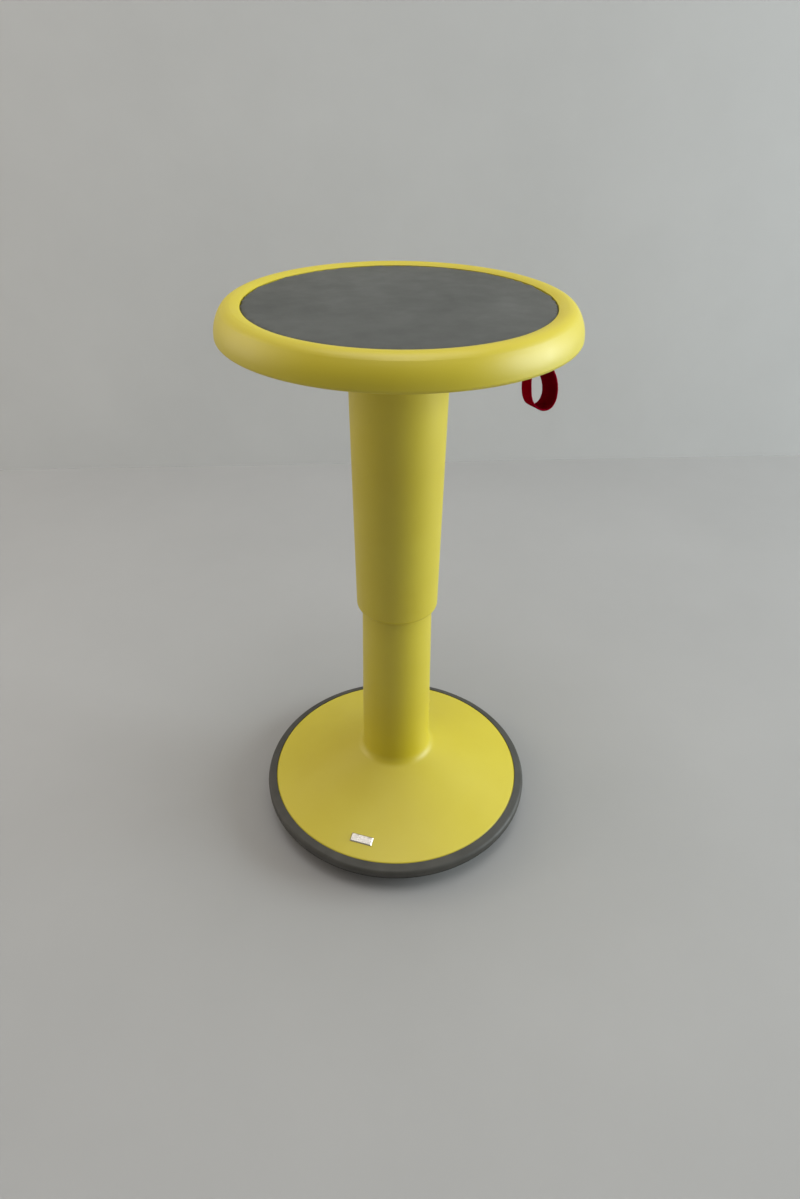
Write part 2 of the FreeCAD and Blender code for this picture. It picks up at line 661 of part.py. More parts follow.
def base_ring():
    """The rubber ring round the base, with a tongue under the shell's skirt."""
    body = new_body("base_ring")
    inner = "(base_radius - ring_width + skirt_gap)"
    # where the leaning top runs into the round
    turn_radius = "(base_radius - ring_round * (1 - sin(ring_lean)))"
    turn_height = "(rim_height - tan(ring_lean) * (" + turn_radius + " - " + inner + "))"
    outline = Outline(body, "Section").start(RIM_RADIUS + " - tongue_width", "joint_height")
    outline.line("base_radius - joint_chamfer", "joint_height")
    outline.line("base_radius", "joint_height + joint_chamfer")
    outline.line("base_radius", turn_height + " - ring_round * cos(ring_lean)")
    outline.arc(turn_radius, turn_height, "ring_round", "left")
    outline.line(inner, "rim_height")
    outline.line(inner, SKIRT_BOTTOM)
    outline.line(RIM_RADIUS + " - tongue_width", SKIRT_BOTTOM)
    revolve(body, outline.close())


def base_shell():
    """The yellow base moulding: skirt, hollow cone and drafted lower tube, with ribs and bosses."""
    body = new_body("base_shell")
    wall = "base_wall"
    inside = RIM_RADIUS + " - " + wall
    outline = Outline(body, "Section").start("column_radius + column_fit", TUBE_TOP)
    outline.line("column_radius + column_fit", TUBE_TOP + " - top_flange")
    outline.line("tube_top_radius - " + wall, TUBE_TOP + " - top_flange")
    outline.line("tube_low_radius - " + wall, "cone_top_height - " + wall)
    outline.line(inside, "rim_height - " + wall)
    outline.line(inside, SKIRT_BOTTOM)
    outline.line(RIM_RADIUS, SKIRT_BOTTOM)
    outline.line(RIM_RADIUS, "rim_height - edge_chamfer")
    outline.line(CONE_EDGE, "rim_height")
    outline.arc("tube_low_radius", "cone_top_height", CONE_BOW, "right")
    outline.line("tube_top_radius", TUBE_TOP + " - edge_chamfer")
    outline.line("tube_top_radius - edge_chamfer", TUBE_TOP)
    revolve(body, outline.close())
    round_edge(body, ("tube_low_radius", "cone_top_height"), "foot_round", "FootRound")
    # radial ribs under the cone
    rib_end = RIM_RADIUS + " - " + wall + " / 2"
    rib = Outline(body, "Rib").start("rib_inner_radius", HUB_PLATE_TOP)
    rib.line(rib_end, HUB_PLATE_TOP)
    rib.line(rib_end, "rim_height - root_depth")
    rib.line("tube_low_radius", "cone_top_height - root_depth")
    rib.line("rib_inner_radius", "cone_top_height - root_depth")
    ribs = pad(body, rib.close(), "rib_thickness", "Rib1", midplane=True)
    repeat(body, [ribs], RIB_COUNT, "Ribs")
    # room in the ribs for the hub's collar
    high = ("rib_inner_radius + collar_room", "cone_top_height - collar_head_room")
    room = rectangle(body, "HubRoom", ("0", "0"), high)
    revolve(body, room, "HubRoomCut", cut=True)
    # screw bosses
    groups = [
        ("Hub", "hub_bolt_circle", HUB_SCREWS, HUB_FIRST, "", HUB_PLATE_TOP),
        ("Ballast", "ballast_bolt_circle", BALLAST_SCREWS, BALLAST_FIRST, "", HUB_PLATE_TOP),
        ("Sole", "sole_bolt_circle", SOLE_SCREWS, SOLE_FIRST, "small_", "joint_height"),
    ]
    for name, circle, count, first, size, foot in groups:
        radius, shank = size + "boss_radius", size + "screw_radius"
        places = around(circle, count, first)
        sketch = circles(body, name + "Bosses", places, radius, height=foot)
        drop = cone_height(circle + " + " + radius) + " - (" + foot + ") - root_depth"
        pad(body, sketch, drop, name + "BossPads")
        holes = circles(body, name + "Pilots", places, shank + " + pilot_gap", height=foot)
        depth = "min(" + drop + " - pilot_floor; screw_length)"
        pocket(body, holes, depth, name + "PilotHoles", reverse=True)


def cone_height(radius):
    """A formula for the height of the cone's chord at a radius."""
    share = "(" + RIM_RADIUS + " - (" + radius + ")) / (" + RIM_RADIUS + " - tube_low_radius)"
    return "(rim_height + (cone_top_height - rim_height) * " + share + ")"


def screw_group(node, circle, count, first, seat, style, length=None):
    """Equal screws on a circle, each with a low round head under its seat."""
    radius, head, height, usual = {
        "large": ("screw_radius", "screw_head_radius", "screw_head_height", "screw_length"),
        "small": ("small_screw_radius", "small_head_radius", "small_head_height", "small_screw_length"),
    }[style]
    body = new_body(node)
    place = around(circle, count, first)[:1]
    heads = pad(body, circles(body, "Heads", place, head, height=seat), height, "Head", reverse=True)
    shank = pad(body, circles(body, "Shanks", place, radius, height=seat), length or usual, "Shank")
    socket = circles(body, "Sockets", place, radius + " * socket_share", height=seat + " - " + height)
    recess = pocket(body, socket, height + " * socket_share", "Socket", reverse=True)
    repeat(body, [heads, shank, recess], count)


def badge_plate():
    """A blank bevelled plate on the cone, where the badge is; its underside follows the cone."""
    blank = new_body("badge_blank")
    low = ("-badge_length / 2", "-badge_width / 2")
    high = ("badge_length / 2", "badge_width / 2")
    plate = pad(blank, rectangle(blank, "Plate", low, high, plane="XY_Plane"), "badge_thickness", "Plate")
    top = [face for face in plate.Shape.Faces if face.CenterOfMass.z > value("badge_thickness") - SAME][0]
    names = edge_names(plate.Shape, top.Edges)
    bevel = blank.newObject("PartDesign::Chamfer", "Bevel")
    bevel.Base = (plate, names)
    bevel.Size = value("badge_bevel")
    bevel.setExpression("Size", formula("badge_bevel"))
    doc.recompute()
    root = rectangle(blank, "Root", low, high, plane="XY_Plane")
    pad(blank, root, "badge_sink", "Root", reverse=True)
    # stand it on the cone, square to the surface
    start = (value(CONE_EDGE), value("rim_height"))
    end = (value("tube_low_radius"), value("cone_top_height"))
    bow = value(CONE_BOW)
    centre = arc_centre(start, end, bow, "right")
    reach = value("badge_reach")
    height = centre[1] - math.sqrt(bow ** 2 - (reach - centre[0]) ** 2)
    slope = math.degrees(math.asin((centre[0] - reach) / bow))
    turn = FreeCAD.Rotation(FreeCAD.Vector(0, 0, 1), value("badge_angle"))
    lean = FreeCAD.Rotation(FreeCAD.Vector(0, 1, 0), slope)
    square = FreeCAD.Rotation(FreeCAD.Vector(0, 0, 1), 90)
    position = turn.multVec(FreeCAD.Vector(reach, 0, height))
    blank.Placement = FreeCAD.Placement(position, turn * lean * square)
    doc.recompute()
    seated = doc.addObject("Part::Cut", "badge_plate")
    seated.Base = blank
    seated.Tool = doc.getObject("base_shell")
    seated.Label = "badge_plate"
    doc.recompute()


def edge_names(shape, edges):
    """The names that a shape gives to some of its edges."""
    names = []
    for index, edge in enumerate(shape.Edges, start=1):
        if any(edge.isSame(other) for other in edges):
            names.append("Edge%d" % index)
    return names


def base_hub():
    """Steel hub: a round plate screwed under the shell, with a collar that grips the column's taper."""
    body = new_body("base_hub")
    collar_top = HUB_PLATE_TOP + " + hub_collar_height"
    collar = "column_radius + hub_collar_wall"
    weld = "hub_collar_wall"
    outline = Outline(body, "Section").start(column_taper("hub_plate_height", "slide_fit"), "hub_plate_height")
    outline.line("hub_plate_radius", "hub_plate_height")
    outline.line("hub_plate_radius", HUB_PLATE_TOP)
    outline.line(collar + " + " + weld, HUB_PLATE_TOP)
    outline.line(collar, HUB_PLATE_TOP + " + " + weld)
    outline.line(collar, collar_top)
    outline.line(column_taper(collar_top, "slide_fit"), collar_top)
    revolve(body, outline.close())
    places = around("hub_bolt_circle", HUB_SCREWS, HUB_FIRST)
    holes = circles(body, "Holes", places, "screw_radius + hole_gap", height=HUB_PLATE_TOP)
    pocket(body, holes, "hub_plate_thickness + beyond", "ScrewHoles")


def column_taper(height, gap):
    """Radius of the column's tapered end at a height, plus a gap."""
    share = "(column_foot + taper_length - (" + height + ")) / taper_length"
    return "(column_radius - taper_drop * " + share + " + " + gap + ")"


def column_tube():
    """The steel column: a drawn tube with a tapered foot and a closing disc for the thrust bearing."""
    body = new_body("column_tube")
    inner = "column_radius - column_wall"
    outline = Outline(body, "Section").start(column_taper("column_foot", "0"), "column_foot")
    outline.line("column_radius", "column_foot + taper_length")
    outline.line("column_radius", COLUMN_TOP)
    outline.line(inner, COLUMN_TOP)
    outline.line(inner, "column_foot + taper_length")
    outline.line(column_taper(DISC_TOP, "0") + " - column_wall", DISC_TOP)
    outline.line("stub_radius + 2 * slide_fit", DISC_TOP)
    outline.line("stub_radius + 2 * slide_fit", "disc_height")
    outline.line(column_taper("disc_height", "0") + " - column_wall", "disc_height")
    outline.line(column_taper("column_foot", "0") + " - column_wall", "column_foot")
    revolve(body, outline.close())


def guide_bush():
    """Moulded bush in the column's mouth that guides the gas cylinder."""
    body = new_body("guide_bush")
    inner = "cylinder_radius + slide_fit"
    outer = "column_radius - column_wall - slide_fit"
    lead = "bush_lead"
    low = COLUMN_TOP + " - bush_length"
    outline = Outline(body, "Section").start(inner + " + " + lead, low)
    outline.line(outer + " - " + lead, low)
    outline.line(outer, low + " + " + lead)
    outline.line(outer, COLUMN_TOP)
    outline.line("column_radius", COLUMN_TOP)
    outline.line("column_radius", COLUMN_TOP + " + bush_flange - " + lead)
    outline.line("column_radius - " + lead, COLUMN_TOP + " + bush_flange")
    outline.line(inner + " + " + lead, COLUMN_TOP + " + bush_flange")
    outline.line(inner, COLUMN_TOP + " + bush_flange - " + lead)
    outline.line(inner, low + " + " + lead)
    revolve(body, outline.close())
    # long bores in the bush's wall, open below, that keep the moulding even
    middle = "((" + inner + " + " + outer + ") / 2)"
    bores = circles(body, "Bores", around(middle, BUSH_BORES), "bush_bore_radius", height=low + " - beyond")
    pocket(body, bores, "bush_length - 2 * bush_flange", "LighteningBores", reverse=True)


def ballast_ring():
    """Cast iron ring under the hub plate that keeps the stool upright."""
    body = new_body("ballast_ring")
    low = BALLAST_BOTTOM
    edge = "edge_chamfer"
    outline = Outline(body, "Section").start("ballast_inner + " + edge, low)
    outline.line("ballast_outer - " + edge, low)
    outline.line("ballast_outer", low + " + " + edge)
    outline.line("ballast_outer", HUB_PLATE_TOP + " - " + edge)
    outline.line("ballast_outer - " + edge, HUB_PLATE_TOP)
    outline.line("ballast_inner + " + edge, HUB_PLATE_TOP)
    outline.line("ballast_inner", HUB_PLATE_TOP + " - " + edge)
    outline.line("ballast_inner", low + " + " + edge)
    revolve(body, outline.close())
    places = around("ballast_bolt_circle", BALLAST_SCREWS, BALLAST_FIRST)
    holes = circles(body, "Holes", places, "screw_radius + hole_gap", height=HUB_PLATE_TOP)
    pocket(body, holes, "ballast_thickness + beyond", "ScrewHoles")
    heads = circles(body, "Heads", places, "screw_head_radius + head_gap", height=low)
    pocket(body, heads, "screw_head_height", "HeadRecesses", reverse=True)


def thrust_bearing():
    """Two washers, a cage and a ring of balls on the column's disc, which let the seat turn."""
    tube("lower_race", "stub_radius + 2 * slide_fit", "race_radius", DISC_TOP, LOWER_RACE_TOP)
    tube("upper_race", "stub_radius + slide_fit", "race_radius", UPPER_RACE, BUFFER_BOTTOM)
    low = BALL_HEIGHT + " - cage_thickness / 2"
    high = BALL_HEIGHT + " + cage_thickness / 2"
    cage = tube("ball_cage", "ball_circle - cage_half_width", "ball_circle + cage_half_width", low, high)
    holes = circles(cage, "Pockets", around("ball_circle", BALL_COUNT), "ball_radius + slide_fit", height=high)
    pocket(cage, holes, "cage_thickness + beyond", "BallPockets")
    body = new_body("thrust_balls")
    outline = Outline(body, "HalfBall").start("ball_circle", BALL_HEIGHT + " - ball_radius")
    outline.half("ball_circle", BALL_HEIGHT + " + ball_radius", "left")
    sketch = outline.close()
    ball = body.newObject("PartDesign::Revolution", "Ball")
    ball.Profile = sketch
    ball.ReferenceAxis = (sketch, ["Edge2"])
    ball.Angle = 360
    doc.recompute()
    repeat(body, [ball], BALL_COUNT)


def piston_rod():
    """Rod of the gas spring: stepped and grooved at its foot, stepped at its top for the piston."""
    top = PISTON_BOTTOM + " + piston_length"
    clip_top = "disc_height - clip_play"
    foot = "disc_height - stub_length"
    corners = [
        ("0", foot),
        ("stub_radius - stub_chamfer", foot),
        ("stub_radius", foot + " + stub_chamfer"),
        ("stub_radius", clip_top + " - clip_thickness - slide_fit"),
        ("clip_groove", clip_top + " - clip_thickness - slide_fit"),
        ("clip_groove", clip_top),
        ("stub_radius", clip_top),
        ("stub_radius", BUFFER_BOTTOM),
        ("rod_radius", BUFFER_BOTTOM),
        ("rod_radius", PISTON_BOTTOM),
        ("piston_stub", PISTON_BOTTOM),
        ("piston_stub", top),
        ("0", top),
    ]
    turned_solid("piston_rod", corners)
    # the piston with a groove for its seal
    groove_low = PISTON_BOTTOM + " + (piston_length - piston_groove_width) / 2"
    groove_high = groove_low + " + piston_groove_width"
    outer = "cylinder_bore - piston_play"
    floor = outer + " - piston_groove_depth"
    corners = [
        ("piston_stub + slide_fit", PISTON_BOTTOM),
        (outer, PISTON_BOTTOM),
        (outer, groove_low),
        (floor, groove_low),
        (floor, groove_high),
        (outer, groove_high),
        (outer, top),
        ("piston_stub + slide_fit", top),
    ]
    turned_solid("piston_head", corners)
    low = groove_low + " + piston_seal_gap"
    high = groove_high + " - piston_seal_gap"
    tube("piston_seal", floor + " + slide_fit", "cylinder_bore - piston_seal_gap", low, high)
    tube("rod_buffer", "rod_radius + slide_fit", "buffer_radius", BUFFER_BOTTOM, BUFFER_TOP)
    clip = new_body("rod_clip")
    low = (CLIP_BORE, clip_top + " - clip_thickness")
    ring = rectangle(clip, "Section", low, ("clip_radius", clip_top))
    feature = revolve(clip, ring)
    feature.Angle = CLIP_ANGLE
    doc.recompute()


def gas_cylinder():
    """Gas cylinder with its upper taper, the seal block in its mouth and the release pin in its top."""
    valve = CYLINDER_TOP + " - valve_length"
    bore = "release_radius + slide_fit"
    corners = [
        ("0", valve),
        ("cylinder_bore", valve),
        ("cylinder_bore", CYLINDER_BOTTOM),
        ("cylinder_radius", CYLINDER_BOTTOM),
        ("cylinder_radius", HUB_BOTTOM),
        ("cylinder_radius - taper_hub_drop", CYLINDER_TOP),
        (bore, CYLINDER_TOP),
        (bore, CYLINDER_TOP + " - release_bore"),
        ("0", CYLINDER_TOP + " - release_bore"),
    ]
    turned_solid("gas_cylinder", corners)
    seal_low = CYLINDER_BOTTOM + " + seal_inset"
    seal_high = CYLINDER_BOTTOM + " + seal_length"
    tube("cylinder_seal", "rod_radius + slide_fit", "cylinder_bore - slide_fit", seal_low, seal_high)
    tip = LEVER_BOTTOM + " - release_gap"
    corners = [
        ("0", tip + " - release_length"),
        ("release_radius", tip + " - release_length"),
        ("release_radius", tip + " - release_chamfer"),
        ("release_radius - release_chamfer", tip),
        ("0", tip),
    ]
    turned_solid("release_pin", corners)


def seat_plate():
    """Pressed steel plate under the pan: a tray with a wide flange, a lever slot and two pivot ears."""
    body = new_body("seat_plate")
    hub = "taper_hub_radius + slide_fit"
    outline = Outline(body, "Section").start(hub, TRAY_FLOOR)
    outline.line("tray_radius", TRAY_FLOOR)
    outline.line("tray_mouth", PLATE_BOTTOM)
    outline.line("flange_radius", PLATE_BOTTOM)
    outline.line("flange_radius", PLATE_TOP)
    outline.line("tray_mouth - tray_wall", PLATE_TOP)
    outline.line("tray_radius - tray_wall", TRAY_FLOOR + " + plate_thickness")
    outline.line(hub, TRAY_FLOOR + " + plate_thickness")
    revolve(body, outline.close())
    places = around("plate_bolt_circle", PLATE_SCREWS, PLATE_FIRST)
    holes = circles(body, "Holes", places, "screw_radius + hole_gap", height=PLATE_TOP)
    pocket(body, holes, "plate_thickness + beyond", "ScrewHoles")
    # slot for the lever, open at the rim
    low = ("lever_slot_start", "-lever_half_width - lever_slot_gap")
    high = ("flange_radius + beyond", "lever_half_width + lever_slot_gap")
    slot = rectangle(body, "LeverSlot", low, high, plane="XY_Plane", height=PLATE_TOP)
    pocket(body, slot, "lever_slot_depth", "LeverSlotCut")
    # ears for the pivot pin, with the window between them for the lever's eye
    near = "-pivot_distance - ear_half_length"
    far = "-pivot_distance + ear_half_length"
    ears = Outline(body, "Ears").start(near, PLATE_BOTTOM)
    ears.line(far, PLATE_BOTTOM)
    ears.line(far, PLATE_TOP)
    ears.line(far + " - ear_corner", PLATE_TOP + " + ear_height")
    ears.line(near + " + ear_corner", PLATE_TOP + " + ear_height")
    ears.line(near, PLATE_TOP)
    span = "2 * (barrel_half_width + ear_gap + ear_thickness)"
    pad(body, ears.close(), span, "Ears", midplane=True)
    low = (near + " - beyond", PLATE_BOTTOM + " - beyond")
    high = (far + " + beyond", PLATE_TOP + " + ear_height + beyond")
    window = rectangle(body, "Window", low, high)
    pocket(body, window, "2 * (barrel_half_width + ear_gap)", "EyeWindow", midplane=True)
    pivot = [("-pivot_distance", PIVOT_HEIGHT)]
    hole = circles(body, "PinHole", pivot, "pivot_radius + slide_fit", plane="XZ_Plane")
    pocket(body, hole, span + " + 2 * beyond", "PinHoles", midplane=True)
    pin = new_body("lever_pin")
    round_bar = circles(pin, "Section", pivot, "pivot_radius", plane="XZ_Plane")
    pad(pin, round_bar, span + " + 2 * pivot_end", "Pin", midplane=True)
    # the hub welded into the tray, bored to the cylinder's taper
    top = CYLINDER_TOP + " - taper_hub_show"
    slope = "taper_hub_drop * (taper_hub_length - taper_hub_show) / taper_hub_length"
    shoulder = "taper_hub_radius - taper_hub_shoulder"
    corners = [
        ("cylinder_radius + slide_fit", HUB_BOTTOM),
        ("taper_hub_radius - taper_hub_chamfer", HUB_BOTTOM),
        ("taper_hub_radius", HUB_BOTTOM + " + taper_hub_chamfer"),
        ("taper_hub_radius", TRAY_FLOOR + " + plate_thickness"),
        (shoulder, TRAY_FLOOR + " + plate_thickness + taper_hub_weld"),
        (shoulder, top),
        ("cylinder_radius + slide_fit - " + slope, top),
    ]
    turned_solid("taper_hub", corners)


def seat_sleeve():
    """Sleeve over the lower tube, flared out into the flange that closes the seat's underside."""
    body = new_body("seat_sleeve")
    edge = SLEEVE_BOTTOM + " + lip_round"
    inner_low = "sleeve_low_radius - seat_wall"
    inner_top = "sleeve_top_radius - seat_wall"
    lip = edge + " - sqrt(lip_round^2 - (lip_round - seat_wall)^2)"
    outline = Outline(body, "Section").start("sleeve_low_radius", edge)
    outline.line("sleeve_top_radius", FLARE_HEIGHT)
    outline.arc(FLARE_CENTRE, UNDERSIDE, "flare_radius", "right")
    outline.line("cover_radius - cover_gap", UNDERSIDE)
    outline.line("cover_radius - cover_gap", COVER_TOP)
    # the inside of the flare, hidden, is a plain slope
    outline.line(FLARE_CENTRE + " - " + FLARE_CORNER, COVER_TOP)
    outline.line(inner_top, FLARE_HEIGHT + " + " + FLARE_CORNER)
    outline.line(inner_top, FLARE_HEIGHT)
    outline.line(inner_low, lip)
    outline.arc("sleeve_low_radius", edge, "lip_round", "left")
    revolve(body, outline.close())
    places = around(COVER_BOLT_CIRCLE, COVER_SCREWS, COVER_FIRST)
    holes = circles(body, "Holes", places, "small_screw_radius + hole_gap", height=COVER_TOP)
    pocket(body, holes, "seat_wall + beyond", "ScrewHoles")


def seat_shell():
    """The yellow seat moulding: a rounded rim with the pan for the pad, hollow below."""
    body = new_body("seat_shell")
    recess = "pad_radius + pad_gap"
    inner_bow = "((" + CROWN_RADIUS + " - pad_radius - pad_gap)^2 + pad_sink^2) / (2 * pad_sink)"
    outline = Outline(body, "Section").start("0", PAN_TOP)
    outline.line(recess, PAN_TOP)
    outline.line(recess, PAD_EDGE)
    outline.arc(CROWN_RADIUS, "stool_height", inner_bow, "right")
    outline.quarter("seat_radius", SIDE_HEIGHT, "crown_round", "across")
    outline.quarter("cover_radius", UNDERSIDE, "turn_round", "down")
    outline.line("0", UNDERSIDE)
    revolve(body, outline.close())
    # hollow it from below, with straight walls inside the rim
    wall = "seat_wall"
    slant = "(crown_round - " + wall + ") * sin(45)"
    # the pan's floor also reaches over the bosses of the underside's screws
    floor_edge = "max(" + recess + " + " + wall + "; " + COVER_BOLT_CIRCLE + " + small_boss_radius + " + wall + ")"
    hollow = Outline(body, "Hollow").start("0", PAN_BOTTOM)
    hollow.line(floor_edge, PAN_BOTTOM)
    hollow.line(floor_edge, PAD_EDGE + " - " + wall)
    hollow.line(CROWN_RADIUS, "stool_height - " + wall)
    hollow.line(CROWN_RADIUS + " + " + slant, "stool_height - crown_round + " + slant)
    hollow.line("seat_radius - " + wall, SIDE_HEIGHT)
    hollow.line("cover_radius", COVER_TOP)
    hollow.line("cover_radius", UNDERSIDE + " - beyond")
    hollow.line("0", UNDERSIDE + " - beyond")
    revolve(body, hollow.close(), "Hollowed", cut=True)
    # bosses for the plate's and the underside's screws
    groups = [
        ("Plate", "plate_bolt_circle", PLATE_SCREWS, PLATE_FIRST, "", PLATE_TOP),
        ("Cover", COVER_BOLT_CIRCLE, COVER_SCREWS, COVER_FIRST, "small_", COVER_TOP),
    ]
    for name, circle, count, first, size, foot in groups:
        radius, shank = size + "boss_radius", size + "screw_radius"
        places = around(circle, count, first)
        reach = PAN_BOTTOM + " - " + foot
        sketch = circles(body, name + "Bosses", places, radius, height=foot)
        pad(body, sketch, reach + " + seat_wall / 2", name + "BossPads")
        holes = circles(body, name + "Pilots", places, shank + " + pilot_gap", height=foot)
        pocket(body, holes, reach + " + seat_wall / 3", name + "PilotHoles", reverse=True)
    # slot under the rim for the strap guide
    border = "guide_wall + guide_fit"
    low = ("strap_reach - guide_half_length - (" + border + ")", "-" + GUIDE_HALF_WIDTH + " - (" + border + ")")
    high = ("strap_reach + guide_half_length + " + border, GUIDE_HALF_WIDTH + " + " + border)
    slot = rectangle(body, "StrapSlot", low, high, plane="XY_Plane", height=UNDERSIDE + " - beyond")
    pocket(body, slot, "seat_wall + 3 * beyond", "StrapSlotCut", reverse=True)


def seat_pad():
    """The soft grey pad: slightly crowned, with drawn-in sides."""
    body = new_body("seat_pad")
    bow = "(((pad_radius - pad_gap - pad_round)^2 + pad_crown^2) / (2 * pad_crown))"
    edge = "pad_radius - pad_gap"
    outline = Outline(body, "Section").start("0", PAN_TOP + " + pad_gap")
    outline.line(edge + " - pad_draw", PAN_TOP + " + pad_gap")
    outline.line(edge, PAD_EDGE + " - pad_round")
    outline.arc(edge + " - pad_round", PAD_EDGE, "pad_round", "left")
    outline.arc("0", PAD_EDGE + " + pad_crown", bow, "left")
    revolve(body, outline.close())


def release_lever():
    """Steel lever over the release pin: rolled eye at one end, window and crossbar for the strap."""
    body = new_body("release_lever")
    half = "lever_half_width"
    fork = FORK_HALF_WIDTH
    tip = "strap_reach + bar_half_width"
    flare = "strap_reach - bar_half_width - window_length"
    outline = Outline(body, "Strip", "XY_Plane", LEVER_BOTTOM).start("-pivot_distance", "-" + half)
    outline.line(flare + " - lever_spread_start", "-" + half)
    outline.line(flare + " - lever_spread_end", "-" + fork)
    outline.line(tip, "-" + fork)
    outline.line(tip, fork)
    outline.line(flare + " - lever_spread_end", fork)
    outline.line(flare + " - lever_spread_start", half)
    outline.line("-pivot_distance", half)
    pad(body, outline.close(), "lever_thickness", "Strip")
    low = (flare, "-strap_half_width - tine_gap")
    high = ("strap_reach - bar_half_width", "strap_half_width + tine_gap")
    window = rectangle(body, "Window", low, high, plane="XY_Plane", height=LEVER_BOTTOM + " - beyond")
    pocket(body, window, "lever_thickness + 2 * beyond", "StrapWindow", reverse=True)
    # the rolled eye
    pivot = [("-pivot_distance", PIVOT_HEIGHT)]
    eye = circles(body, "Eye", pivot, "barrel_radius", plane="XZ_Plane")
    pad(body, eye, "2 * barrel_half_width", "Eye", midplane=True)
    bore = circles(body, "Bore", pivot, "pivot_radius + slide_fit", plane="XZ_Plane")
    pocket(body, bore, "2 * barrel_half_width + 2 * beyond", "EyeBore", midplane=True)


def pull_strap():
    """Webbing loop round the lever's crossbar, stitched double at its neck and open below."""
    body = new_body("pull_strap")
    centre = "strap_reach"
    wrap = BAR_HOLE + " + wrap_thickness"
    side = "(((loop_radius - strap_thickness)^2 + (" + NECK_HEIGHT + " - " + LOOP_CENTRE + ")^2)"
    side += " / (2 * (loop_radius - strap_thickness)))"
    outline = Outline(body, "Webbing").start(centre + " + " + wrap, PIVOT_HEIGHT)
    outline.line(centre + " + strap_thickness", NECK_HEIGHT)
    outline.arc(centre + " + loop_radius", LOOP_CENTRE, side, "right")
    outline.half(centre + " - loop_radius", LOOP_CENTRE, "right")
    outline.arc(centre + " - strap_thickness", NECK_HEIGHT, side, "right")
    outline.line(centre + " - (" + wrap + ")", PIVOT_HEIGHT)
    outline.half(centre + " + " + wrap, PIVOT_HEIGHT, "right")
    sketch = outline.close()
    # the finger loop's opening, pointed at its top
    top = NECK_HEIGHT + " - neck_seam"
    inner = "(loop_radius - strap_thickness)"
    bow = "((" + inner + "^2 + (" + top + " - " + LOOP_CENTRE + ")^2) / (2 * " + inner + "))"
    opening = Outline(body, "Opening", sketch=sketch).start(centre, top)
    opening.arc(centre + " + " + inner, LOOP_CENTRE, bow, "right")
    opening.half(centre + " - " + inner, LOOP_CENTRE, "right")
    opening.arc(centre, top, bow, "right")
    opening.close()
    # the eye round the crossbar
    eye = Part.Circle(vector((value(centre), value(PIVOT_HEIGHT))), FreeCAD.Vector(0, 0, 1), value(BAR_HOLE))
    geometry = sketch.addGeometry(eye, False)
    opening.hold(geometry, 3, centre, PIVOT_HEIGHT)
    index = sketch.addConstraint(Sketcher.Constraint("Radius", geometry, value(BAR_HOLE)))
    opening.name_constraint(index, BAR_HOLE)
    pad(body, sketch, "2 * strap_half_width", "Webbing", midplane=True)


def strap_guide():
    """Moulded frame in the underside that the strap hangs through."""
    body = new_body("strap_guide")
    length, width = "guide_half_length", GUIDE_HALF_WIDTH
    steps = [
        ("Sleeve", "guide_wall", UNDERSIDE, "seat_wall + guide_rise", False),
        ("Flange", "guide_wall + guide_flange", UNDERSIDE, "guide_flange_thickness", True),
    ]
    for name, border, height, thickness, reverse in steps:
        low = ("strap_reach - " + length + " - (" + border + ")", "-" + width + " - (" + border + ")")
        high = ("strap_reach + " + length + " + " + border, width + " + " + border)
        sketch = rectangle(body, name, low, high, plane="XY_Plane", height=height)
        low = ("strap_reach - " + length, "-" + width)
        high = ("strap_reach + " + length, width)
        rectangle(body, name, low, high, sketch=sketch)
        pad(body, sketch, thickness, name, reverse=reverse)


fill_sheet()
base_sole()
base_ring()
base_shell()
base_hub()
column_tube()
guide_bush()
ballast_ring()
thrust_bearing()
piston_rod()
gas_cylinder()
seat_shell()
seat_sleeve()
seat_plate()
seat_pad()
release_lever()
pull_strap()
strap_guide()
badge_plate()
screw_group("sole_screws", "sole_bolt_circle", SOLE_SCREWS, SOLE_FIRST, SOLE_SEAT, "small")
screw_group("hub_screws", "hub_bolt_circle", HUB_SCREWS, HUB_FIRST, "hub_plate_height", "large")
screw_group("cover_screws", COVER_BOLT_CIRCLE, COVER_SCREWS, COVER_FIRST, UNDERSIDE, "small")
circle = "ballast_bolt_circle"
screw_group("ballast_screws", circle, BALLAST_SCREWS, BALLAST_FIRST, BALLAST_SEAT, "large", BALLAST_SHANK)
circle = "plate_bolt_circle"
length = "plate_screw_length"
screw_group("plate_screws", circle, PLATE_SCREWS, PLATE_FIRST, PLATE_BOTTOM, "large", length)


def finished_parts():
    """Every sub-part that is written out; the badge's blank is only its tool."""
    kinds = ("PartDesign::Body", "Part::Cut")
    return [item for item in doc.Objects if item.TypeId in kinds and item.Label != "badge_blank"]


def check_and_write():
    """Stop on any failed object or bad shape, then write one file for each sub-part."""
    doc.recompute()
    for item in doc.Objects:
        if "Invalid" in item.State or "Error" in item.State:
            raise RuntimeError(item.Label + " failed")
    parts = finished_parts()
    for item in parts:
        if item.Shape.isNull() or not item.Shape.isValid() or not item.Shape.Solids:
            raise RuntimeError(item.Label + " has no valid solid")
    os.makedirs("parts", exist_ok=True)
    for item in parts:
        item.Shape.exportStep("parts/%s.step" % item.Label)
        print(item.Label, len(item.Shape.Solids), "solids", round(item.Shape.Volume), "mm3")
    print(len(parts), "nodes")


check_and_write()
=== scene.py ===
import bmesh
import bpy
import json
import math
from mathutils import Matrix, Vector


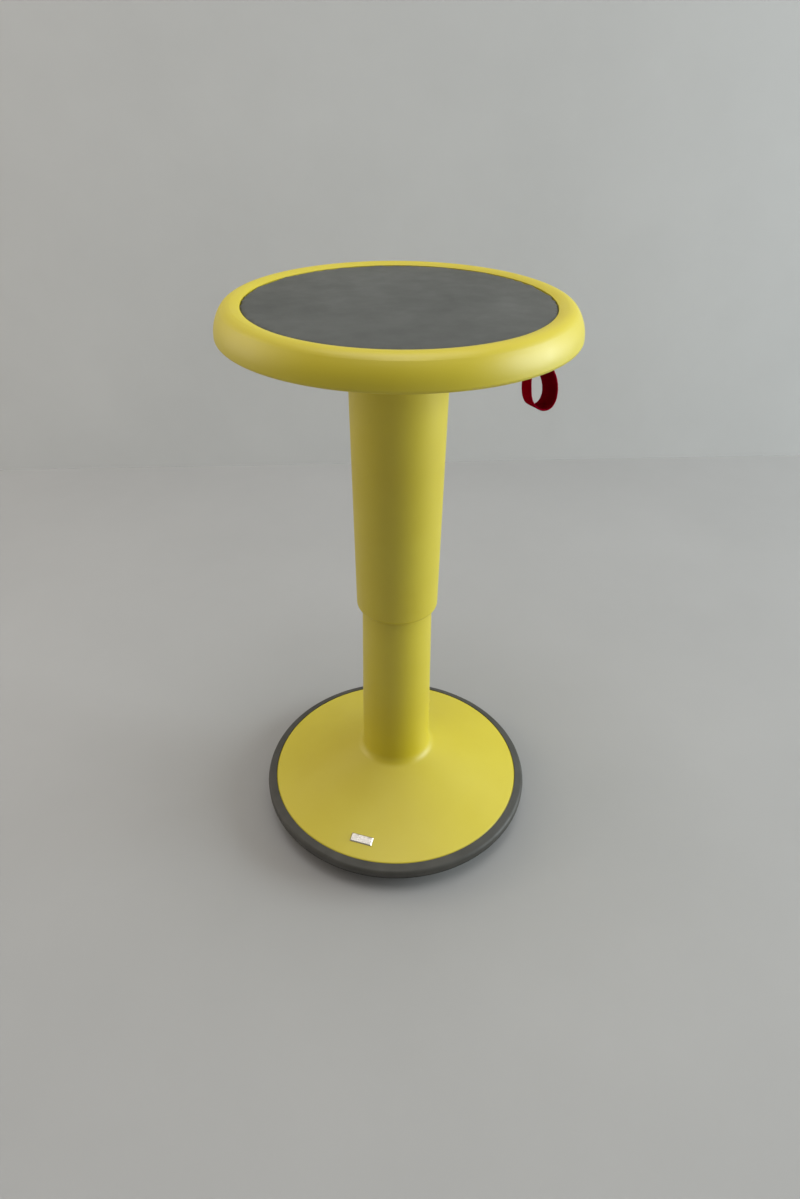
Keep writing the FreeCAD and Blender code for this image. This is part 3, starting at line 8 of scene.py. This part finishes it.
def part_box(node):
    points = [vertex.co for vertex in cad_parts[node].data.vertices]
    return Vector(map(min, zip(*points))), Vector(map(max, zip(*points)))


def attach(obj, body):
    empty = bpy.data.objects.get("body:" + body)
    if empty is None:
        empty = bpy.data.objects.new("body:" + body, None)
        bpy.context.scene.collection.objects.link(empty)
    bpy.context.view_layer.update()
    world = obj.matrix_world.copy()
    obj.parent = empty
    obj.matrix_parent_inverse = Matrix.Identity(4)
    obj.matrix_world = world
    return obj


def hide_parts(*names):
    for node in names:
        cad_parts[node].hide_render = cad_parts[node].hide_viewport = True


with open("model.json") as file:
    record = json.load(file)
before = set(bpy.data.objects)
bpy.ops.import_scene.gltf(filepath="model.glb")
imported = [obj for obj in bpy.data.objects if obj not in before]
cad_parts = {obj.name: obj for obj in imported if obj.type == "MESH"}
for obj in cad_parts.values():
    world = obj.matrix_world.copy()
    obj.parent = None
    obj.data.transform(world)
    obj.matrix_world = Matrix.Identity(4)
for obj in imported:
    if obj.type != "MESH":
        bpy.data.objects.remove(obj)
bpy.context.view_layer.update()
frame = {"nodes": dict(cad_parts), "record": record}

# Wobble stool with a gas lift: yellow mouldings, grey pad, rubber ring and sole, crimson webbing loop.


def srgb(red, green, blue):
    """A screen colour, 0 to 255, as the linear colour a shader takes."""
    def linear(level):
        level /= 255
        return level / 12.92 if level <= 0.04045 else ((level + 0.055) / 1.055) ** 2.4
    return (linear(red), linear(green), linear(blue), 1.0)


# Camera

LENS = 23.64
SENSOR = 36.0
VIEWPOINT = (-0.21206, -0.69361, 0.81082)
LOOKS_RIGHT = math.radians(17.256)
LOOKS_DOWN = math.radians(34.95)
ROLL = 0.010214


def place_camera():
    """The photograph's viewpoint: in front of the stool and above it, looking down."""
    data = bpy.data.cameras.new("camera")
    data.lens = LENS
    data.sensor_width = SENSOR
    camera = bpy.data.objects.new("camera", data)
    bpy.context.scene.collection.objects.link(camera)
    turned = Matrix.Rotation(-LOOKS_RIGHT, 4, "Z")
    tipped = Matrix.Rotation(math.radians(90) - LOOKS_DOWN, 4, "X")
    rolled = Matrix.Rotation(ROLL, 4, "Z")
    camera.matrix_world = Matrix.Translation(VIEWPOINT) @ turned @ tipped @ rolled
    bpy.context.scene.camera = camera


# Node trees

class Finish:
    """A material with one shader, and the pattern nodes that feed it."""

    def __init__(self, name, colour, roughness, metallic=0.0):
        self.material = bpy.data.materials.new(name)
        self.material.use_nodes = True
        self.tree = self.material.node_tree
        self.shader = self.tree.nodes["Principled BSDF"]
        self.set("Base Color", colour)
        self.set("Roughness", roughness)
        self.set("Metallic", metallic)
        self.place = self.tree.nodes.new("ShaderNodeTexCoord").outputs["Object"]

    def set(self, socket, value):
        self.shader.inputs[socket].default_value = value

    def node(self, kind, **inputs):
        made = self.tree.nodes.new(kind)
        for name, value in inputs.items():
            self.feed(made.inputs[name.replace("_", " ")], value)
        return made

    def feed(self, socket, value):
        if isinstance(value, bpy.types.NodeSocket):
            self.tree.links.new(value, socket)
        else:
            socket.default_value = value

    def noise(self, scale, detail=3.0, rough=0.5, stretch=None):
        """Cloudy pattern from 0 to 1 at a scale per metre."""
        place = self.place
        if stretch:
            mapping = self.node("ShaderNodeMapping", Vector=place, Scale=stretch)
            place = mapping.outputs["Vector"]
        return self.node("ShaderNodeTexNoise", Vector=place, Scale=scale, Detail=detail, Roughness=rough).outputs["Fac"]

    def ramp(self, factor, low, high, first, last):
        """A colour or level that goes from first to last while the factor goes from low to high."""
        ramp = self.node("ShaderNodeValToRGB", Fac=factor)
        ramp.color_ramp.elements[0].position = low
        ramp.color_ramp.elements[1].position = high
        ramp.color_ramp.elements[0].color = level(first)
        ramp.color_ramp.elements[1].color = level(last)
        return ramp.outputs["Color"]

    def vary_colour(self, factor, low, high, first, last):
        self.feed(self.shader.inputs["Base Color"], self.ramp(factor, low, high, first, last))

    def vary_roughness(self, factor, low, high, first, last):
        self.feed(self.shader.inputs["Roughness"], self.ramp(factor, low, high, first, last))

    def bump(self, height, distance, strength=1.0):
        last = self.shader.inputs["Normal"].links
        made = self.node("ShaderNodeBump", Height=height, Distance=distance, Strength=strength)
        if last:
            self.feed(made.inputs["Normal"], last[0].from_socket)
        self.feed(self.shader.inputs["Normal"], made.outputs["Normal"])


def level(value):
    """A ramp's colour: a grey for a plain number."""
    return (value, value, value, 1.0) if isinstance(value, float) else value


def yellow_moulding():
    """Matt yellow plastic with a fine spark-eroded grain and faint handling marks."""
    made = Finish("yellow_moulding", srgb(212, 195, 40), 0.45)
    made.vary_colour(made.noise(9.0, 4.0), 0.35, 0.7, srgb(210, 192, 34), srgb(215, 199, 47))
    made.vary_roughness(made.noise(26.0, 5.0, 0.6), 0.35, 0.75, 0.42, 0.5)
    made.set("Specular IOR Level", 0.8)
    made.bump(made.noise(1900.0, 2.0), 0.00004)
    made.bump(made.noise(60.0, 2.0), 0.0001, 0.5)
    return made.material


def pad_skin():
    """Grey self-skinned foam, dulled and faintly clouded by use."""
    made = Finish("pad_skin", srgb(91, 92, 90), 0.5)
    made.vary_colour(made.noise(9.0, 6.0, 0.65), 0.36, 0.7, srgb(83, 85, 82), srgb(97, 99, 96))
    made.set("Specular IOR Level", 0.12)
    made.vary_roughness(made.noise(38.0, 5.0, 0.6), 0.35, 0.7, 0.42, 0.56)
    made.bump(made.noise(1500.0, 3.0, 0.6), 0.00005)
    return made.material


def ring_rubber():
    """Soft dark grey rubber with a dull bloom."""
    made = Finish("ring_rubber", srgb(67, 66, 61), 0.55)
    made.vary_colour(made.noise(30.0, 5.0), 0.35, 0.7, srgb(61, 60, 55), srgb(74, 73, 68))
    made.vary_roughness(made.noise(70.0, 4.0), 0.35, 0.7, 0.48, 0.62)
    made.bump(made.noise(1300.0, 3.0), 0.00005)
    return made.material


def sole_rubber():
    """Black rubber sole, scuffed grey where it rolls on the floor."""
    made = Finish("sole_rubber", srgb(26, 27, 28), 0.62)
    made.vary_colour(made.noise(45.0, 6.0, 0.7), 0.4, 0.75, srgb(21, 22, 23), srgb(36, 36, 36))
    made.set("Specular IOR Level", 0.3)
    made.vary_roughness(made.noise(120.0, 4.0), 0.35, 0.7, 0.55, 0.75)
    made.bump(made.noise(1100.0, 4.0), 0.00008)
    return made.material


def satin_aluminium():
    """Brushed aluminium with a fine lengthwise grain."""
    made = Finish("badge_metal", srgb(188, 184, 178), 0.36, 0.85)
    made.vary_roughness(made.noise(900.0, 3.0, 0.6, (0.08, 1.0, 1.0)), 0.3, 0.7, 0.24, 0.4)
    made.bump(made.noise(2200.0, 2.0, 0.5, (0.05, 1.0, 1.0)), 0.00002)
    return made.material


def powder_coat(name, colour):
    """Black powder coat with its orange peel."""
    made = Finish(name, colour, 0.42)
    made.vary_roughness(made.noise(160.0, 3.0), 0.35, 0.7, 0.36, 0.5)
    made.bump(made.noise(700.0, 2.0), 0.00006)
    return made.material


def zinc_plate(name, colour, roughness):
    """Bright plated or ground steel with slight clouding."""
    made = Finish(name, colour, roughness, 1.0)
    made.vary_roughness(made.noise(220.0, 5.0), 0.3, 0.75, roughness - 0.06, roughness + 0.12)
    made.bump(made.noise(1600.0, 3.0), 0.00002)
    return made.material


def woven_webbing():
    """Crimson polyester webbing: fine ribs across it and yarns along it."""
    made = Finish("woven_webbing", srgb(146, 8, 34), 0.62)
    along = made.node("ShaderNodeUVMap")
    along.uv_map = "weave"
    ribs = made.node("ShaderNodeTexWave", Vector=along.outputs["UV"], Scale=4.4, Distortion=0.6, Detail=1.0)
    yarns = made.node("ShaderNodeTexWave", Vector=along.outputs["UV"], Scale=5.6, Distortion=0.4, Detail=1.0)
    yarns.bands_direction = "Y"
    cross = made.node("ShaderNodeMath", **{"Value": ribs.outputs["Fac"]})
    cross.operation = "MULTIPLY"
    made.feed(cross.inputs[1], yarns.outputs["Fac"])
    made.vary_colour(cross.outputs["Value"], 0.05, 0.75, srgb(116, 0, 20), srgb(182, 0, 44))
    made.vary_roughness(made.noise(900.0, 3.0), 0.3, 0.7, 0.55, 0.75)
    made.set("Specular IOR Level", 0.0)
    made.bump(cross.outputs["Value"], 0.00022)
    made.bump(made.noise(2600.0, 2.0), 0.00005)
    return made.material


def plain_plastic(name, colour, roughness):
    """Moulded engineering plastic with a fine grain."""
    made = Finish(name, colour, roughness)
    made.vary_roughness(made.noise(90.0, 4.0), 0.35, 0.7, roughness - 0.05, roughness + 0.08)
    made.bump(made.noise(1700.0, 2.0), 0.00004)
    return made.material


def cast_surface():
    """Sand-cast iron under thin dark paint."""
    made = Finish("cast_surface", srgb(66, 66, 67), 0.6)
    made.vary_colour(made.noise(80.0, 6.0, 0.7), 0.4, 0.75, srgb(58, 58, 59), srgb(78, 77, 76))
    made.bump(made.noise(420.0, 5.0, 0.7), 0.0003)
    return made.material


def floor_paint():
    """Pale grey painted floor with faint wear."""
    made = Finish("floor_paint", srgb(170, 170, 169), 0.66)
    made.vary_colour(made.noise(1.6, 6.0, 0.6), 0.3, 0.75, srgb(167, 167, 166), srgb(174, 174, 173))
    made.vary_roughness(made.noise(5.0, 6.0, 0.65), 0.3, 0.75, 0.6, 0.74)
    made.set("Specular IOR Level", 0.25)
    made.bump(made.noise(7.0, 5.0), 0.0006, 0.5)
    return made.material


def wall_paint():
    """Pale grey wall, brushed unevenly."""
    made = Finish("wall_paint", srgb(206, 207, 206), 0.7)
    made.vary_colour(made.noise(2.4, 5.0, 0.6), 0.3, 0.75, srgb(203, 204, 203), srgb(210, 211, 210))
    made.bump(made.noise(16.0, 5.0), 0.0008, 0.5)
    return made.material


SLOT_FINISH = {
    "yellow_plastic": yellow_moulding(),
    "grey_pad": pad_skin(),
    "ring_rubber": ring_rubber(),
    "sole_rubber": sole_rubber(),
    "badge_metal": satin_aluminium(),
    "column_steel": powder_coat("column_coat", srgb(38, 38, 40)),
    "rod_steel": zinc_plate("rod_chrome", srgb(205, 206, 208), 0.16),
    "cylinder_steel": powder_coat("cylinder_paint", srgb(44, 44, 46)),
    "zinc_steel": zinc_plate("screw_zinc", srgb(176, 178, 180), 0.34),
    "pressed_steel": powder_coat("plate_coat", srgb(42, 42, 44)),
    "bearing_steel": zinc_plate("bearing_steel", srgb(186, 187, 190), 0.22),
    "bush_plastic": plain_plastic("bush_plastic", srgb(226, 224, 216), 0.45),
    "black_plastic": plain_plastic("guide_plastic", srgb(40, 40, 41), 0.5),
    "inner_rubber": plain_plastic("buffer_rubber", srgb(38, 38, 38), 0.7),
    "ballast_iron": cast_surface(),
    "crimson_webbing": woven_webbing(),
}


def dress_frame():
    """Every CAD node takes the finish of its slot."""
    for part in frame["record"]["subparts"]:
        node = frame["nodes"][part["node"]]
        node.data.materials.clear()
        node.data.materials.append(SLOT_FINISH[part["material_slot"]])


# Soft pieces

def add_piece(name, mesh, finish, body):
    """A new piece with its finish, riding on a body of the frame."""
    made = bpy.data.objects.new(name, mesh)
    bpy.context.scene.collection.objects.link(made)
    mesh.materials.clear()
    mesh.materials.append(SLOT_FINISH[finish])
    for face in mesh.polygons:
        face.use_smooth = True
    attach(made, body)
    return made


def settled_mesh(piece):
    """The piece's mesh with its modifiers worked into it."""
    view = bpy.context.evaluated_depsgraph_get()
    return bpy.data.meshes.new_from_object(piece.evaluated_get(view))


# Pad, in metres: cut under size by the shrink, moved by at most the swell, crowned in the middle. What comes
# within the corner of the pan's wall lies against it.
PAD_SHRINK = 0.0005
PAD_SWELL = 0.0045
PAD_CROWN = 0.0012
PAD_CORNER = 0.0022
PAD_FIT = 0.0002
PAD_VOXEL = 0.0038
PAD_RISE = 0.001
PAD_FOOT_IN = 0.001
PAD_FOOT_HEIGHT = 0.004
PAD_STEPS = 120
FILLING_PRESSURE = 4.0
FILLING_FRAMES = 20


def turned_pad(low, high):
    """The pad as it is cut: a disc with drawn-in sides and a slight crown, a little under size."""
    radius = high.x - PAD_SHRINK
    foot = low.z + PAD_SHRINK
    top = high.z - PAD_SHRINK
    form = bmesh.new()
    profile = [(0, foot), (radius - PAD_FOOT_IN, foot), (radius, foot + PAD_FOOT_HEIGHT), (radius, top - PAD_CROWN)]
    profile += [(radius * share, top - PAD_CROWN * share ** 2) for share in (0.75, 0.5, 0.25, 0)]
    corners = [form.verts.new((x, 0, z)) for x, z in profile]
    edges = [form.edges.new(pair) for pair in zip(corners, corners[1:])]
    bmesh.ops.spin(form, geom=corners + edges, cent=(0, 0, 0), axis=(0, 0, 1), angle=math.tau,
                   steps=PAD_STEPS, use_merge=True)
    bmesh.ops.remove_doubles(form, verts=form.verts, dist=0.00001)
    bmesh.ops.recalc_face_normals(form, faces=form.faces)
    mesh = bpy.data.meshes.new("seat_cushion")
    form.to_mesh(mesh)
    form.free()
    return mesh


def filled_pad():
    """The grey pad: filled, then held to its pan and to an even crown."""
    low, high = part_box("seat_pad")
    low, high = Vector(low), Vector(high)
    blank = bpy.data.objects.new("pad_blank", turned_pad(low, high))
    bpy.context.scene.collection.objects.link(blank)
    voxels = blank.modifiers.new("Voxels", "REMESH")
    voxels.mode = "VOXEL"
    voxels.voxel_size = PAD_VOXEL
    even = settled_mesh(blank)
    blank.modifiers.clear()
    blank.data = even
    cut = [corner.co.copy() for corner in even.vertices]
    cloth = blank.modifiers.new("Filling", "CLOTH")
    cloth.settings.quality = 4
    cloth.settings.use_pressure = True
    cloth.settings.uniform_pressure_force = FILLING_PRESSURE
    cloth.settings.effector_weights.gravity = 0.0
    cloth.collision_settings.use_collision = False
    for frame_number in range(1, FILLING_FRAMES + 1):
        bpy.context.scene.frame_set(frame_number)
    even = settled_mesh(blank)
    bpy.context.scene.frame_set(1)
    bpy.data.objects.remove(blank)
    hold = high.x + PAD_FIT
    for corner, before in zip(even.vertices, cut):
        moved = corner.co - before
        if moved.length > PAD_SWELL:
            moved *= PAD_SWELL / moved.length
        place = before + moved
        # the top and the side are set to the crown and the pan's wall, so the filling moves only what lies between
        # them: the skin along the top, and the foot down to the pan's floor
        reach = max(math.hypot(place.x, place.y), math.hypot(before.x, before.y))
        if reach > hold - PAD_CORNER:
            reach = hold
        around = math.atan2(before.y, before.x)
        crown = high.z - PAD_CROWN * (reach / hold) ** 2
        if before.z > (low.z + high.z) / 2:
            height = min(max(place.z, before.z + PAD_RISE), crown)
        else:
            height = max(min(place.z, before.z), low.z)
        corner.co = (reach * math.cos(around), reach * math.sin(around), height)
    pad = add_piece("seat_cushion", even, "grey_pad", "seat")
    rounder = pad.modifiers.new("Rounder", "SUBSURF")
    rounder.levels = rounder.render_levels = 1
    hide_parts("seat_pad")


# The webbing's closed line as (x, z) in millimetres: down from the lever's bar through the guide, round the
# loop and up again. The loop opens towards the front, so its front edge runs wider than its back edge.
BAR_AND_NECK_DOWN = [(146.0, 614.5), (142.95, 611.45), (144.6, 606.0), (145.05, 599.0)]
FRONT_EDGE = [(143.5, 590.0), (137.0, 573.0), (132.4, 560.0), (130.9, 549.6), (131.8, 538.0), (133.6, 529.0),
              (137.3, 522.0), (142.0, 517.6), (148.9, 515.0), (155.8, 516.8), (160.0, 523.4), (161.0, 530.5),
              (160.6, 537.5), (158.1, 547.0), (153.4, 556.5), (149.2, 573.0), (147.6, 590.0)]
BACK_EDGE = [(143.9, 590.0), (139.2, 573.0), (136.2, 560.0), (134.9, 549.6), (134.4, 538.0), (135.0, 529.0),
             (136.9, 521.4), (141.4, 514.6), (149.0, 511.8), (154.6, 514.6), (157.6, 521.0), (157.9, 527.5),
             (155.9, 536.5), (152.9, 543.5), (149.8, 555.5), (148.0, 573.0), (147.3, 590.0)]
NECK_AND_BAR_UP = [(146.95, 599.0), (147.4, 606.0), (149.05, 611.45)]
STRAP_WIDTH = 0.025
STRAP_THICKNESS = 0.0016
CURVE_STEPS = 12
STEPS_ALONG = 260
STEPS_ACROSS = 14
SCALLOP_DEPTH = 0.00025
SCALLOP_LENGTH = 0.0021
WEAVE_SCALE = 100
OUTER_ROW = 0.49


def strap_edge(line):
    """One edge of the webbing as a smooth closed line."""
    curve = bpy.data.curves.new("edge", "CURVE")
    curve.dimensions = "3D"
    spline = curve.splines.new("BEZIER")
    spline.bezier_points.add(len(line) - 1)
    for point, (x, z) in zip(spline.bezier_points, line):
        point.co = (x / 1000, 0.0, z / 1000)
        point.handle_left_type = point.handle_right_type = "AUTO"
    spline.use_cyclic_u = True
    spline.resolution_u = CURVE_STEPS
    edge = bpy.data.objects.new("edge", curve)
    bpy.context.scene.collection.objects.link(edge)
    mesh = settled_mesh(edge)
    points = [corner.co.copy() for corner in mesh.vertices]
    bpy.data.objects.remove(edge)
    return points + points[:1]


def webbing_loop():
    """The pull strap: flat webbing bent round its line, with the small scallops that weaving leaves at its edges."""
    front = strap_edge(BAR_AND_NECK_DOWN + FRONT_EDGE + NECK_AND_BAR_UP)
    back = strap_edge(BAR_AND_NECK_DOWN + BACK_EDGE + NECK_AND_BAR_UP)
    middle = [a.lerp(b, 0.5) for a, b in zip(front, back)]
    marks = [0.0]
    for a, b in zip(middle, middle[1:]):
        marks.append(marks[-1] + (b - a).length)
    whole = marks[-1]
    form = bmesh.new()
    bmesh.ops.create_grid(form, x_segments=STEPS_ALONG, y_segments=STEPS_ACROSS, size=0.5)
    weave = form.loops.layers.uv.new("weave")
    flat = {corner: corner.co.copy() for corner in form.verts}
    for face in form.faces:
        for loop in face.loops:
            place = flat[loop.vert]
            loop[weave].uv = ((place.x + 0.5) * whole * WEAVE_SCALE, place.y * STRAP_WIDTH * WEAVE_SCALE)
    piece = 0
    for corner in sorted(form.verts, key=lambda vert: flat[vert].x):
        length = min((flat[corner].x + 0.5) * whole, whole - 1e-7)
        while marks[piece + 1] < length:
            piece += 1
        share = (length - marks[piece]) / (marks[piece + 1] - marks[piece])
        across = flat[corner].y
        at_edge = abs(across) > OUTER_ROW
        scallop = SCALLOP_DEPTH * math.cos(math.tau * length / SCALLOP_LENGTH) if at_edge else 0.0
        side = across * STRAP_WIDTH + math.copysign(scallop, across)
        on_front = front[piece].lerp(front[piece + 1], share)
        on_back = back[piece].lerp(back[piece + 1], share)
        spot = on_front.lerp(on_back, across + 0.5)
        corner.co = (spot.x, side, spot.z)
    bmesh.ops.remove_doubles(form, verts=form.verts, dist=0.00005)
    bmesh.ops.recalc_face_normals(form, faces=form.faces)
    mesh = bpy.data.meshes.new("webbing_loop")
    form.to_mesh(mesh)
    form.free()
    strap = add_piece("webbing_loop", mesh, "crimson_webbing", "lever")
    thick = strap.modifiers.new("Thickness", "SOLIDIFY")
    thick.thickness = STRAP_THICKNESS
    thick.offset = 0.0
    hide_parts("pull_strap")


# Floor, wall and lights

WALL_DISTANCE = 1.005
WALL_HEIGHT = 3.5
HALF_WIDTH = 5
FLOOR_DEPTH = 8
WALL_ALONG = (0.9728, -0.2318, 0.0)
WALL_BEHIND = (0.2318, 0.9728, 0.0)


def sheet(name, corners, material):
    """A flat four-cornered part of the stage."""
    mesh = bpy.data.meshes.new(name)
    form = bmesh.new()
    form.faces.new([form.verts.new(corner) for corner in corners])
    form.to_mesh(mesh)
    form.free()
    made = bpy.data.objects.new(name, mesh)
    made.data.materials.append(material)
    bpy.context.scene.collection.objects.link(made)
    return made


def lay_floor():
    """A pale floor that meets a pale wall a metre behind the stool."""
    behind = Vector(WALL_BEHIND)
    foot = behind * WALL_DISTANCE
    left = foot - Vector(WALL_ALONG) * HALF_WIDTH
    right = foot + Vector(WALL_ALONG) * HALF_WIDTH
    depth = behind * FLOOR_DEPTH
    rise = Vector((0, 0, WALL_HEIGHT))
    sheet("floor", [left, left - depth, right - depth, right], floor_paint())
    sheet("wall", [left, right, right + rise, left + rise], wall_paint())


def lamp(name, place, aim, size, power, colour):
    """A soft square lamp that faces a point."""
    data = bpy.data.lights.new(name, "AREA")
    data.size = size
    data.energy = power
    data.color = colour
    made = bpy.data.objects.new(name, data)
    made.location = place
    made.rotation_euler = (Vector(aim) - Vector(place)).to_track_quat("-Z", "Y").to_euler()
    bpy.context.scene.collection.objects.link(made)


def light_stool():
    """A wide soft lamp overhead, a cool one from the right and a faint warm one from the left."""
    lamp("lamp_above", (0.0, -0.3, 4.0), (0, 0, 0.2), 2.8, 71.0, (1.0, 0.98, 0.97))
    lamp("lamp_right", (3.85, -1.2, 1.5), (0, 0, 0.4), 2.6, 156.0, (0.88, 0.97, 1.0))
    lamp("lamp_left", (-1.75, 0.95, 1.1), (0, 0, 0.35), 1.5, 14.0, (1.0, 0.9, 0.8))
    world = bpy.data.worlds.new("world")
    bpy.context.scene.world = world
    world.use_nodes = True
    sky = world.node_tree.nodes["Background"]
    sky.inputs["Color"].default_value = (1.0, 0.92, 0.84, 1.0)
    sky.inputs["Strength"].default_value = 0.195


bpy.context.scene.view_settings.view_transform = "Standard"
place_camera()
dress_frame()
filled_pad()
webbing_loop()
lay_floor()
light_stool()
